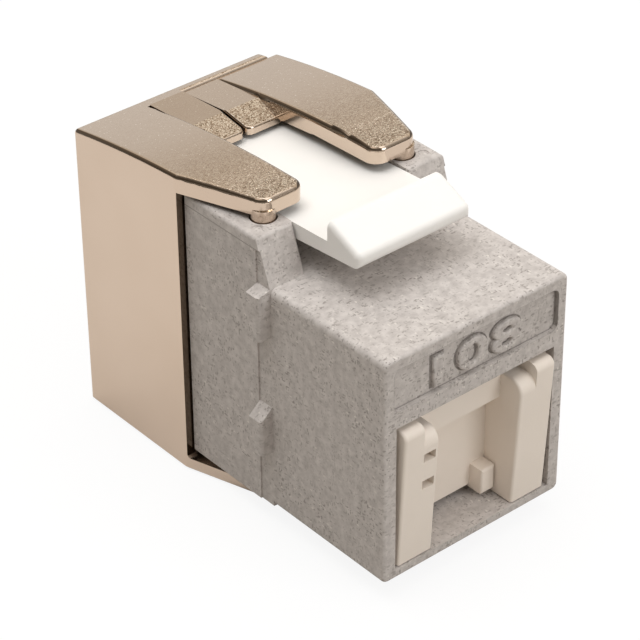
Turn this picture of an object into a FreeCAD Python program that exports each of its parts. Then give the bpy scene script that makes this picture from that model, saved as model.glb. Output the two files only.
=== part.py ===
import FreeCAD, Part
import Sketcher

import math
import os
import re

# Shielded toolless keystone jack (8P8C, screened twisted pair). Millimetres.
# Building coordinates: X across the jack, Y from the front face to the rear, Z up from the underside
# of the front housing. Every sub-part is then moved by the same Placement, so that the finished jack
# has its origin under the centre of its bounding box, on the plane that it rests on.

doc = FreeCAD.newDocument("KeystoneJack")

# ---------------------------------------------------------------------------------------------------
# Driving dimensions
# ---------------------------------------------------------------------------------------------------

SIZES = [
    # front housing
    ("face_width", 14.5, "keystone face, across"),
    ("face_height", 16.0, "keystone face, up"),
    ("shoulder_start", 11.25, "front face to the shoulder"),
    ("shoulder_end", 17.9, "front face to the rear of the housing"),
    ("shoulder_step", 0.1, "how far the shoulder stands out of each side"),
    ("stop_start", 10.1, "front face to the stops that bear on the panel"),
    ("ear_inner", 4.5, "half the gap between the ears"),
    ("ear_lean", 1.1, "how far the ear's front leans back"),
    ("ear_band", 0.75, "ear's full-width upper band, height"),
    ("mark_x", 6.55, "ejector mark on the ear, from the middle"),
    ("mark_y", 12.05, "ejector mark on the ear, from the front face"),
    ("mark_radius", 0.33, "ejector mark, radius"),
    ("mark_depth", 0.06, "ejector mark, depth"),
    ("lug_proud", 0.9, "side lugs, out of the side"),
    ("upper_lug_fall", 0.3, "upper side lug, how far its top falls to the outside"),
    ("lower_lug_fall", 0.8, "lower side lug, how far its top falls to the outside"),
    ("lower_lug_low", 4.2, "lower side lug, lower end"),
    ("lower_lug_high", 7.5, "lower side lug, upper end"),
    ("tooth_half_width", 4.4, "fixed catch under the housing, half width"),
    ("tooth_drop", 1.15, "fixed catch, height"),
    ("tooth_start", 5.6, "fixed catch, start of its ramp"),
    ("tooth_land", 0.6, "fixed catch, length of its flat"),
    ("catch_plane", 8.25, "front face to the faces that hold the panel from the front"),
    ("edge_round", 0.25, "edge rounding of the moulded housing"),
    ("corner_round", 0.45, "rounding of the face's corners"),
    # port
    ("port_half_width", 6.3, "port, half width"),
    ("port_low", 0.65, "port floor"),
    ("port_high", 11.1, "port ceiling at the face"),
    ("front_wall", 1.0, "wall above the port, front to back"),
    ("roof_end", 11.2, "rear of that space"),
    ("label_half_width", 6.5, "label recess, half width"),
    ("label_depth", 0.32, "label recess, depth"),
    ("label_round", 0.5, "label recess, corner radius"),
    ("rear_half_width", 6.6, "rear pocket, half width"),
    ("rear_low", 2.1, "rear pocket, floor"),
    # shutter
    ("axle_depth", 0.95, "shutter axle, from the front face"),
    ("axle_height", 10.1, "shutter axle, height"),
    ("axle_radius", 0.35, "shutter axle stub, radius"),
    ("axle_reach", 6.75, "shutter axle stub, half span"),
    ("axle_fit", 0.05, "radial clearance of the axle stubs"),
    ("shutter_half_width", 6.0, "shutter, half width"),
    ("cheek_inner", 4.5, "outer cheek of each post, inner side"),
    ("post_inner", 3.28, "half the gap between the posts"),
    ("post_low", 0.75, "posts, lower end"),
    ("post_front_low", 0.1, "posts, front at the lower end"),
    ("post_proud", 0.5, "posts, how far they stand out at the upper end"),
    ("post_high", 9.95, "posts, upper end"),
    ("cheek_high", 10.7, "outer cheeks, upper end"),
    ("post_crown", 0.9, "rounding of the posts' upper end"),
    ("shutter_back", 3.4, "rear face of the shutter"),
    ("shutter_shoulder_y", 1.9, "shutter's sloped back, front end"),
    ("shutter_shoulder_z", 9.9, "shutter's sloped back, height"),
    ("panel_front", 2.6, "recessed panel, front face"),
    ("panel_low", 1.4, "recessed panel, lower edge"),
    ("panel_high", 9.6, "recessed panel, upper edge"),
    ("lintel_front", 1.4, "bar across the top, front face"),
    ("lintel_low", 8.1, "bar across the top, lower edge"),
    ("lintel_high", 10.05, "bar across the top, upper edge"),
    ("nub_inner", 2.1, "nub on the panel, inner side"),
    ("nub_outer", 3.2, "nub on the panel, outer side"),
    ("nub_front", 1.5, "nub on the panel, front face"),
    ("nub_low", 1.15, "nub on the panel, lower side"),
    ("nub_high", 2.95, "nub on the panel, upper side"),
    ("pin_mark_left", 4.45, "blind holes in the left post, outer side"),
    ("pin_mark_right", 3.52, "blind holes in the left post, inner side"),
    ("pin_mark_height", 0.65, "blind holes, height"),
    ("pin_mark_depth", 1.6, "blind holes, depth"),
    ("pin_mark_upper", 7.92, "upper blind hole, lower side"),
    ("pin_mark_lower", 5.88, "lower blind hole, lower side"),
    ("shutter_round", 0.18, "edge rounding of the shutter"),
    # shutter spring
    ("leaf_thick", 0.15, "shutter spring, thickness of its leaf"),
    ("spring_width", 2.4, "shutter spring, width"),
    ("spring_root", 0.6, "shutter spring, root behind the axle"),
    ("spring_belly", 1.9, "shutter spring, bend behind the axle"),
    ("spring_end", 1.1, "shutter spring, end behind the axle"),
    ("spring_end_gap", 0.05, "shutter spring, end above the axle's height"),
    # latch
    ("latch_half_width", 4.4, "latch, half width"),
    ("latch_tip", 5.45, "latch, front end"),
    ("latch_ridge_land", 0.35, "latch ridge, length of its top"),
    ("latch_pivot_y", 21.85, "latch root, from the front face"),
    ("latch_root_radius", 0.65, "latch root bar, radius"),
    ("latch_pin_radius", 0.45, "latch root pins, radius"),
    ("latch_pin_reach", 5.3, "latch root pins, half span"),
    ("latch_pin_fit", 0.05, "radial clearance of the root pins"),
    ("latch_round", 0.45, "edge rounding of the latch"),
    # wings
    ("wing_half_width", 7.9, "wings, half width over both"),
    ("wing_side", 0.7, "wing side wall"),
    ("wing_rear", 28.35, "rear face of the left wing"),
    ("wing_wall", 0.95, "wing rear wall"),
    ("wing_window", 18.03, "front edge of the side wall"),
    ("wing_low", -1.4, "underside of the wings"),
    ("arm_floor", -0.5, "upper side of the lower arms"),
    ("arm_tip", 12.1, "front end of the arms"),
    ("arm_inner", 2.7, "half the gap between the arms"),
    ("arm_fall", 0.27, "underside of the upper arms, fall from the tip to the window"),
    ("taper_run", 0.1, "arms' taper, how far it runs behind the window's edge"),
    ("arm_tip_outer", 5.98, "outer edge of the arms at the tip"),
    ("crown_radius", 88.0, "radius of the left wing's falling top"),
    ("right_crown_radius", 78.0, "radius of the right wing's top, which ends lower"),
    ("right_drop", 0.16, "right wing, how far its top ends below the left wing's"),
    ("seam", 0.16, "gap between the closed wings"),
    ("tongue_front", 21.0, "front end of the tongues over the latch"),
    ("tongue_bend", 23.2, "tongue, bend line"),
    ("tongue_end", 27.2, "tongue, where it runs into the top"),
    ("tongue_skin", 0.75, "tongue, thickness at its rear"),
    ("boss_x", 5.45, "wing pivot, from the middle"),
    ("boss_y", 12.8, "wing pivot, from the front face"),
    ("boss_radius", 0.78, "wing pivot boss, radius"),
    ("boss_fit", 0.08, "radial clearance of the pivot bosses"),
    ("lower_boss_high", 1.6, "upper end of the lower boss"),
    ("boss_end_gap", 0.12, "gap beyond the end of a boss"),
    ("boss_sunk", 0.3, "wing pivot boss, how far its root lies in the arm"),
    ("prong_reach", 7.0, "left wing's prongs, reach past the middle"),
    ("seam_round", 0.14, "edge rounding along the seam"),
    ("outlet_radius", 3.6, "cable outlet, radius"),
    ("outlet_height", 9.2, "cable outlet, height of its axis"),
    ("wing_round", 0.3, "edge rounding of the castings"),
    ("wing_corner", 0.9, "corner radius of arms and tongues, in plan"),
    # contact carrier and contacts
    ("carrier_half_width", 6.1, "contact carrier, half width"),
    ("carrier_start", 11.5, "contact carrier, front"),
    ("board_start", 16.7, "circuit board, front"),
    ("board_thickness", 1.0, "circuit board, thickness"),
    ("inner_gap", 0.1, "clearance of the inner pieces above and below"),
    ("mouth_end", 14.2, "carrier mouth, rear"),
    ("mouth_high", 5.8, "carrier mouth, height"),
    ("mouth_half_width", 4.3, "carrier mouth, half width"),
    ("contact_pitch", 1.02, "contact pitch"),
    ("contact_width", 0.4, "contact, width"),
    ("contact_thick", 0.3, "contact, thickness"),
    ("contact_tip_y", 7.9, "contact, free end from the front face"),
    ("contact_tip_z", 1.0, "contact, free end height"),
    ("contact_bend_y", 12.9, "contact, bend from the front face"),
    ("contact_bend_z", 4.6, "contact, height of its fixed run"),
    ("contact_tail", 0.6, "contact, length of its tail in the board"),
    # insulation displacement block and blades
    ("block_room", 0.3, "blade block and wire manager, clearance to the wings' sides"),
    ("neck_step", 0.1, "blade block neck, step in from the port's side"),
    ("block_neck_end", 18.5, "blade block neck, rear"),
    ("block_end", 22.6, "blade block, rear"),
    ("block_low", 0.7, "blade block, underside"),
    ("blade_pitch", 3.2, "blade columns, pitch"),
    ("blade_width", 2.2, "blade, width"),
    ("blade_thick", 0.4, "blade, thickness"),
    ("blade_slot", 0.42, "blade, slot that bites the wire"),
    ("blade_slot_depth", 1.9, "blade, depth of that slot"),
    ("blade_bevel", 0.3, "blade, bevel of its prongs' outer sides"),
    ("blade_root", 19.4, "blade, root from the front face"),
    ("blade_sunk", 0.2, "blade, how far its end lies inside the block"),
    ("blade_tail_width", 0.6, "blade, width of its tail"),
    ("lower_row", 4.1, "lower blade row, height"),
    ("wire_slot", 1.0, "wire slots, width"),
    ("wire_slot_depth", 2.2, "wire slots, depth"),
    ("wire_slot_inner", 2.4, "wire slots, inner end from the outlet axis"),
    ("cradle_outer", 5.55, "latch cradles, outer side"),
    ("cradle_start", 21.1, "latch cradles, front"),
    # wire manager
    ("manager_start", 22.65, "wire manager, front"),
    ("manager_end", 26.3, "wire manager, rear"),
    ("manager_low", 0.8, "wire manager, underside"),
    ("manager_groove", 1.3, "wire manager, depth of its wire grooves"),
    ("manager_well", 5.4, "wire manager, half width of its middle well"),
    ("manager_well_height", 2.6, "wire manager, half height of its middle well"),
    # side shield springs
    ("shield_thick", 0.2, "shield spring, thickness"),
    ("shield_start", 5.0, "shield spring, front end"),
    ("shield_low", 3.0, "shield spring, lower edge"),
    ("shield_high", 8.0, "shield spring, upper edge"),
    ("shield_bump", 6.08, "shield spring, inner side of its bump"),
    ("shield_bump_y", 8.5, "shield spring, middle of its bump"),
    ("shield_bump_half", 1.2, "shield spring, half length of its bump"),
    ("shield_pocket", 0.3, "pocket in the port's side for the shield spring"),
    ("shield_tab_gap", 0.1, "shield spring, gap between its tab and the wing"),
    # whole jack
    ("face_lift", 1.4, "underside of the housing above the plane that the jack rests on"),
]

# Heights above the top of the face (below it where negative), so that they follow the face's height.
RISES = [
    ("ear_top", 3.05, "top of the ears"),
    ("upper_lug_low", -3.4, "upper side lug, lower end"),
    ("roof_high", -2.2, "ceiling of the space that the open shutter takes"),
    ("label_low", -3.75, "label recess, lower edge"),
    ("label_high", -0.8, "label recess, upper edge"),
    ("rear_high", -0.8, "rear pocket, ceiling"),
    ("spring_height", -4.0, "shutter spring, height of its bend"),
    ("latch_tip_low", 2.42, "latch tip, underside"),
    ("latch_tip_high", 3.3, "latch tip, upper edge"),
    ("latch_ridge", 4.4, "latch ridge, height"),
    ("latch_plate_top", 3.1, "latch plate, top at the catch"),
    ("latch_root_top", 2.35, "latch plate, top at the root"),
    ("latch_root_low", 0.95, "latch plate, underside at the root"),
    ("latch_pivot_z", 1.6, "latch root, height"),
    ("arm_top", 4.6, "top of the arms at the tip"),
    ("arm_under_tip", 3.5, "underside of the upper arms at the tip"),
    ("arm_under_rear", 2.3, "underside of the wing's top at the rear"),
    ("tongue_front_top", 3.22, "tongue, top at the front end"),
    ("tongue_bend_top", 3.56, "tongue, top at the bend"),
    ("tongue_end_top", 3.3, "tongue, top at its rear"),
    ("tongue_under", 2.72, "tongue, underside"),
    ("upper_boss_low", 1.4, "lower end of the upper boss"),
    ("block_high", 0.1, "blade block, top"),
    ("upper_row", -3.1, "upper blade row, height"),
    ("cradle_high", 2.25, "latch cradles, top"),
    ("manager_high", 1.2, "wire manager, top"),
]

sheet = doc.addObject("Spreadsheet::Sheet", "Sizes")
for row, (alias, value, meaning) in enumerate(SIZES + RISES, start=1):
    sheet.set("A%d" % row, meaning)
    sheet.set("B%d" % row, "%g" % value)
    sheet.setAlias("B%d" % row, alias)
doc.recompute()

# ---------------------------------------------------------------------------------------------------
# Helpers
# ---------------------------------------------------------------------------------------------------

PLAIN = {alias for alias, value, meaning in SIZES}
RISEN = {alias for alias, value, meaning in RISES}
BLOCK_SIDE = "(wing_half_width - wing_side - block_room)"
NECK_SIDE = "(port_half_width - neck_step)"
parts = []


def formula(text):
    """An expression over the sheet: each alias gets the sheet's name, a risen one the face's top too."""
    def cell(match):
        word = match.group(0)
        if word in RISEN:
            return "(Sizes.face_height + Sizes.%s)" % word
        return "Sizes." + word if word in PLAIN else word
    return re.sub(r"[a-z][a-z0-9_]*", cell, text)


def new_body(name):
    """A PartDesign body that becomes one sub-part."""
    body = doc.addObject("PartDesign::Body", name)
    body.Label = name
    parts.append(body)
    return body


def plane_of(body, role):
    return next(item for item in body.Origin.OriginFeatures if item.Role == role)


def add_loop(sketch, corners):
    """A closed polygon whose corners are each held by two expressions."""
    count = len(corners)
    first = sketch.GeometryCount
    turns = [2 * math.pi * i / count for i in range(count)]
    rough = [FreeCAD.Vector(math.cos(turn), math.sin(turn), 0) for turn in turns]
    for i in range(count):
        sketch.addGeometry(Part.LineSegment(rough[i], rough[(i + 1) % count]), False)
    for i in range(count):
        line = first + i
        following = first + (i + 1) % count
        across = sketch.addConstraint(Sketcher.Constraint("DistanceX", line, 1, rough[i].x))
        upward = sketch.addConstraint(Sketcher.Constraint("DistanceY", line, 1, rough[i].y))
        sketch.addConstraint(Sketcher.Constraint("Coincident", line, 2, following, 1))
        sketch.setExpression("Constraints[%d]" % across, formula(corners[i][0]))
        sketch.setExpression("Constraints[%d]" % upward, formula(corners[i][1]))


def add_circle(sketch, centre, radius):
    """A circle whose centre and radius are held by expressions."""
    circle = sketch.addGeometry(Part.Circle(FreeCAD.Vector(1, 1, 0), FreeCAD.Vector(0, 0, 1), 1), False)
    across = sketch.addConstraint(Sketcher.Constraint("DistanceX", circle, 3, 1))
    upward = sketch.addConstraint(Sketcher.Constraint("DistanceY", circle, 3, 1))
    size = sketch.addConstraint(Sketcher.Constraint("Radius", circle, 1))
    sketch.setExpression("Constraints[%d]" % across, formula(centre[0]))
    sketch.setExpression("Constraints[%d]" % upward, formula(centre[1]))
    sketch.setExpression("Constraints[%d]" % size, formula(radius))


def new_sketch(body, name, plane, height):
    sketch = body.newObject("Sketcher::SketchObject", name)
    sketch.AttachmentSupport = [(plane_of(body, plane), "")]
    sketch.MapMode = "FlatFace"
    sketch.setExpression("AttachmentOffset.Base.z", formula(height))
    return sketch


def prism(body, name, plane, loops, low, high, cut=False, circles=()):
    """Pad or pocket the loops between two heights along X (YZ), Y (XZ) or Z (XY)."""
    start = "-(%s)" % high if plane == "XZ_Plane" else low
    sketch = new_sketch(body, name + "Sketch", plane, start)
    for corners in loops:
        add_loop(sketch, corners)
    for centre, radius in circles:
        add_circle(sketch, centre, radius)
    doc.recompute()
    kind = "PartDesign::Pocket" if cut else "PartDesign::Pad"
    feature = body.newObject(kind, name)
    feature.Profile = sketch
    feature.Reversed = cut
    feature.setExpression("Length", formula("(%s) - (%s)" % (high, low)))
    sketch.Visibility = False
    doc.recompute()
    body.Tip = feature
    return feature


def rectangle(left, low, right, high):
    return [(left, low), (right, low), (right, high), (left, high)]


def mirrored(loop):
    """The same loop on the other side of X = 0."""
    return [("-(%s)" % across, upward) for across, upward in reversed(loop)]


def edges_where(shape, test):
    """Names of the edges whose bounding box passes the test."""
    numbered = enumerate(shape.Edges, start=1)
    return ["Edge%d" % number for number, edge in numbered if test(edge.BoundBox, edge)]


def dress(body, name, kind, size, test):
    """Round or chamfer the edges of the body's tip that pass the test."""
    base = body.Tip
    names = edges_where(base.Shape, test)
    feature = body.newObject(kind, name)
    feature.Base = (base, names)
    feature.setExpression("Radius" if kind == "PartDesign::Fillet" else "Size", formula(size))
    doc.recompute()
    body.Tip = feature
    return feature


def near(value, target, slack=0.01):
    return abs(value - target) < slack


def size_of(alias):
    value = float(sheet.get(alias))
    return value + float(sheet.get("face_height")) if alias in RISEN else value


# ---------------------------------------------------------------------------------------------------
# Front housing: one moulding with the port, the panel stops, the ears and the fixed catch
# ---------------------------------------------------------------------------------------------------


def build_front_housing():
    body = new_body("front_housing")
    side = "face_width / 2"
    shoulder_side = "face_width / 2 + shoulder_step"
    stop = size_of("stop_start")
    prism(body, "FaceBlock", "XZ_Plane", [rectangle("-" + side, "0", side, "face_height")],
          "0", "stop_start")
    dress(body, "FaceCorners", "PartDesign::Fillet", "corner_round",
          lambda box, edge: near(box.XLength, 0) and near(box.ZLength, 0) and near(box.YMax, stop))
    prism(body, "StopBlock", "XZ_Plane", [rectangle("-" + side, "0", side, "face_height")],
          "stop_start", "shoulder_start")
    prism(body, "Shoulder", "XZ_Plane",
          [rectangle("-(%s)" % shoulder_side, "0", shoulder_side, "face_height")],
          "shoulder_start", "shoulder_end")
    ear_front = [("stop_start", "face_height - 0.5"), ("shoulder_start", "face_height - 0.5"),
                 ("shoulder_start", "ear_top"), ("stop_start + ear_lean", "ear_top"),
                 ("stop_start", "face_height")]
    ear_rear = rectangle("shoulder_start", "face_height - 0.5", "shoulder_end", "ear_top")
    lean = "ear_lean / (ear_top - face_height)"
    ear_band = [("stop_start + ear_lean - ear_band * " + lean, "ear_top - ear_band"),
                ("shoulder_start + 0.1", "ear_top - ear_band"), ("shoulder_start + 0.1", "ear_top"),
                ("stop_start + ear_lean", "ear_top")]
    for sign, label in (("-", "Left"), ("", "Right")):
        inner = sign + "ear_inner"
        outer = sign + "(%s)" % side
        outer_rear = sign + "(%s)" % shoulder_side
        low, high = (outer, inner) if sign else (inner, outer)
        prism(body, label + "EarFront", "YZ_Plane", [ear_front], low, high)
        low, high = (outer_rear, inner) if sign else (inner, outer_rear)
        prism(body, label + "EarRear", "YZ_Plane", [ear_rear], low, high)
        prism(body, label + "EarBand", "YZ_Plane", [ear_band], low, high)
    for label, low, high, fall in (("Upper", "upper_lug_low", "face_height", "upper_lug_fall"),
                                   ("Lower", "lower_lug_low", "lower_lug_high", "lower_lug_fall")):
        lug = [(side + " - 0.2", low), (side + " + lug_proud", low),
               (side + " + lug_proud", "%s - %s" % (high, fall)), (side, high), (side + " - 0.2", high)]
        prism(body, label + "Lugs", "XZ_Plane", [lug, mirrored(lug)], "stop_start", "shoulder_start")
    tooth = [("tooth_start", "0.3"), ("tooth_start", "0"), ("catch_plane - tooth_land", "-tooth_drop"),
             ("catch_plane", "-tooth_drop"), ("catch_plane", "0.3")]
    prism(body, "FixedCatch", "YZ_Plane", [tooth], "-tooth_half_width", "tooth_half_width")
    dress_front_housing(body)
    cut_front_housing(body)


def dress_front_housing(body):
    """Round the outside: ears, lugs and the long edges of the block."""
    ear_top = size_of("ear_top")
    half = size_of("face_width") / 2
    stop = size_of("stop_start")
    shoulder = size_of("shoulder_start")
    lean = size_of("ear_lean")
    ear_length = size_of("shoulder_end") - stop - lean
    dress(body, "LugEdges", "PartDesign::Fillet", "edge_round",
          lambda box, edge: near(box.XLength, 0) and near(box.YLength, 0) and near(box.YMin, stop)
          and near(abs(box.XMin), half + size_of("lug_proud")))
    dress(body, "EarEdges", "PartDesign::Fillet", "edge_round",
          lambda box, edge: (near(box.ZMin, ear_top) and near(box.ZMax, ear_top) and box.YMin < shoulder
                             and box.XLength > half - size_of("ear_inner") - 0.2)
          or (near(box.XLength, 0) and near(box.YLength, lean, 0.05) and near(box.ZMax, ear_top)
              and abs(box.XMin) < half - 1)
          or (near(box.ZMin, ear_top) and near(box.YLength, ear_length) and abs(box.XMin) > half))
    dress(body, "FaceEdges", "PartDesign::Fillet", "edge_round",
          lambda box, edge: near(box.YMin, 0) and near(box.YMax, 0) and box.XLength > half)


def cut_front_housing(body):
    """Open the port, the shutter's roof space, the rear pocket, the bores and the label recess."""
    prism(body, "Port", "XZ_Plane",
          [rectangle("-port_half_width", "port_low", "port_half_width", "port_high")],
          "0 - 1", "roof_end", cut=True)
    prism(body, "ShutterSpace", "XZ_Plane",
          [rectangle("-port_half_width", "port_high - 1", "port_half_width", "roof_high")],
          "front_wall", "roof_end", cut=True)
    prism(body, "RearPocket", "XZ_Plane",
          [rectangle("-rear_half_width", "rear_low", "rear_half_width", "rear_high")],
          "roof_end", "shoulder_end + 1", cut=True)
    prism(body, "ShieldPockets", "XZ_Plane",
          [rectangle("-port_half_width - shield_pocket", "shield_low - 0.1",
                     "port_half_width + shield_pocket", "shield_high + 0.1")],
          "shield_start - 0.1", "roof_end + 0.1", cut=True)
    prism(body, "AxleHoles", "YZ_Plane", [], "-axle_reach - axle_fit", "axle_reach + axle_fit", cut=True,
          circles=[(("axle_depth", "axle_height"), "axle_radius + axle_fit")])
    bores = [((sign + "boss_x", "boss_y"), "boss_radius + boss_fit") for sign in ("-", "")]
    prism(body, "UpperBores", "XY_Plane", [], "upper_boss_low - boss_end_gap", "ear_top + 1", cut=True,
          circles=bores)
    prism(body, "LowerBores", "XY_Plane", [], "0 - 1", "lower_boss_high + boss_end_gap", cut=True,
          circles=bores)
    marks = [((sign + "mark_x", "mark_y"), "mark_radius") for sign in ("-", "")]
    prism(body, "EjectorMarks", "XY_Plane", [], "ear_top - mark_depth", "ear_top + 1", cut=True,
          circles=marks)
    prism(body, "LabelRecess", "XZ_Plane",
          [rectangle("-label_half_width", "label_low", "label_half_width", "label_high")],
          "0 - 1", "label_depth", cut=True)
    depth = size_of("label_depth")
    dress(body, "LabelCorners", "PartDesign::Fillet", "label_round",
          lambda box, edge: near(box.XLength, 0) and near(box.ZLength, 0) and near(box.YLength, depth)
          and near(abs(box.XMin), size_of("label_half_width")) and near(box.YMin, 0))


# ---------------------------------------------------------------------------------------------------
# Shutter: the sprung flap in the port, with its axle stubs, and its spring
# ---------------------------------------------------------------------------------------------------


def build_shutter():
    body = new_body("shutter")
    slope = "(post_front_low + post_proud) / (cheek_high - post_low)"
    front_at = lambda height: "post_front_low - %s * (%s - post_low)" % (slope, height)
    back = [("shutter_shoulder_y", "shutter_shoulder_z"), ("shutter_back", "panel_high"),
            ("shutter_back", "post_low + 0.2"), ("shutter_back - 0.2", "post_low")]
    cheek = [("post_front_low", "post_low"), (front_at("cheek_high"), "cheek_high"),
             ("axle_depth", "cheek_high")] + back
    post = [("post_front_low", "post_low"), (front_at("post_high"), "post_high"),
            ("shutter_shoulder_y - 0.6", "post_high")] + back
    panel = rectangle("panel_front", "panel_low", "shutter_back", "panel_high")
    lintel = [("lintel_front", "lintel_low"), ("lintel_front", "lintel_high"),
              ("shutter_shoulder_y", "shutter_shoulder_z"), ("shutter_back", "panel_high"),
              ("shutter_back", "lintel_low")]
    nub = rectangle("nub_front", "nub_low", "shutter_back", "nub_high")
    prism(body, "Posts", "YZ_Plane", [post], "-cheek_inner", "cheek_inner")
    crown = size_of("post_high")
    dress(body, "PostCrowns", "PartDesign::Fillet", "post_crown",
          lambda box, edge: box.XLength > size_of("cheek_inner") and near(box.ZMin, crown) and box.YMax < 0)
    prism(body, "BetweenPosts", "YZ_Plane",
          [rectangle("0 - 2", "0", "shutter_back + 1", "post_high + 1")],
          "-post_inner", "post_inner", cut=True)
    dress(body, "InnerPostEdges", "PartDesign::Fillet", "shutter_round",
          lambda box, edge: near(box.XLength, 0) and near(abs(box.XMin), size_of("post_inner"))
          and box.ZLength > crown / 2 and box.YMax < 0.2)
    prism(body, "Panel", "YZ_Plane", [panel], "-post_inner", "post_inner")
    prism(body, "Lintel", "YZ_Plane", [lintel], "-post_inner", "post_inner")
    prism(body, "RightNub", "YZ_Plane", [nub], "nub_inner", "nub_outer")
    prism(body, "LeftNub", "YZ_Plane", [nub], "-nub_outer", "-nub_inner")
    nub_face = size_of("nub_front")
    dress(body, "NubEdges", "PartDesign::Fillet", "shutter_round",
          lambda box, edge: near(box.YMin, nub_face) and near(box.YMax, nub_face))
    prism(body, "RightCheek", "YZ_Plane", [cheek], "cheek_inner", "shutter_half_width")
    prism(body, "LeftCheek", "YZ_Plane", [cheek], "-shutter_half_width", "-cheek_inner")
    stub = [(("axle_depth", "axle_height"), "axle_radius")]
    prism(body, "RightStub", "YZ_Plane", [], "shutter_half_width - 0.2", "axle_reach", circles=stub)
    prism(body, "LeftStub", "YZ_Plane", [], "-axle_reach", "0.2 - shutter_half_width", circles=stub)
    marks = [rectangle("-pin_mark_left", low, "-pin_mark_right", low + " + pin_mark_height")
             for low in ("pin_mark_upper", "pin_mark_lower")]
    prism(body, "BlindHoles", "XZ_Plane", marks, "0 - 1", "pin_mark_depth - post_proud", cut=True)
    cheek_top = size_of("cheek_high")
    low = size_of("post_low")
    cheek = size_of("shutter_half_width") - size_of("cheek_inner")
    dress(body, "CheekTops", "PartDesign::Fillet", "post_proud",
          lambda box, edge: near(box.ZMin, cheek_top) and near(box.XLength, cheek) and box.YMax < 0)
    dress(body, "PostEdges", "PartDesign::Fillet", "shutter_round",
          lambda box, edge: near(box.XLength, 0) and box.ZLength > cheek_top / 2 and box.YMax < 0.2
          and near(box.ZMin, low) and near(abs(box.XMin), size_of("shutter_half_width")))


def build_shutter_spring():
    """Leaf spring: its root lies under the roof, its curved end bears on the shutter's sloped back."""
    body = new_body("shutter_spring")
    leaf = [("axle_depth + spring_root", "roof_high - 0.02"), ("axle_depth + spring_belly", "spring_height"),
            ("axle_depth + spring_end", "axle_height + spring_end_gap"),
            ("axle_depth + spring_end + leaf_thick", "axle_height + spring_end_gap"),
            ("axle_depth + spring_belly + leaf_thick", "spring_height"),
            ("axle_depth + spring_root + leaf_thick", "roof_high - 0.02")]
    prism(body, "Leaf", "YZ_Plane", [leaf], "-spring_width / 2", "spring_width / 2")


# ---------------------------------------------------------------------------------------------------
# Latch: the white clip that flexes down behind the panel's edge
# ---------------------------------------------------------------------------------------------------


def build_latch():
    body = new_body("latch")
    profile = [("latch_tip", "latch_tip_low"), ("latch_pivot_y", "latch_root_low"),
               ("latch_pivot_y", "latch_root_top"), ("catch_plane", "latch_plate_top"),
               ("catch_plane", "latch_ridge"), ("catch_plane - latch_ridge_land", "latch_ridge"),
               ("latch_tip", "latch_tip_high")]
    prism(body, "Plate", "YZ_Plane", [profile], "-latch_half_width", "latch_half_width")
    ridge = size_of("latch_ridge")
    tip = size_of("latch_tip")
    catch = size_of("catch_plane")
    width = 2 * size_of("latch_half_width")
    land = size_of("latch_ridge_land")
    dress(body, "SoftEdges", "PartDesign::Fillet", "latch_round",
          lambda box, edge: (box.YMax < catch + 0.01 and not near(box.XLength, width)
                             and not (near(box.YMin, catch) and near(box.YMax, catch)))
          or (near(box.XLength, width) and near(box.YMin, catch - land, 0.02) and near(box.ZMin, ridge))
          or (near(box.XLength, width) and near(box.YMin, tip)))
    root = [(("latch_pivot_y", "latch_pivot_z"), "latch_root_radius")]
    pins = [(("latch_pivot_y", "latch_pivot_z"), "latch_pin_radius")]
    prism(body, "RootBar", "YZ_Plane", [], "-latch_half_width", "latch_half_width", circles=root)
    prism(body, "RightPin", "YZ_Plane", [], "latch_half_width - 0.2", "latch_pin_reach", circles=pins)
    prism(body, "LeftPin", "YZ_Plane", [], "-latch_pin_reach", "0.2 - latch_half_width", circles=pins)


# ---------------------------------------------------------------------------------------------------
# Wings: the two zinc castings that swing shut over the rear, each on two bosses
# ---------------------------------------------------------------------------------------------------


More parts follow.
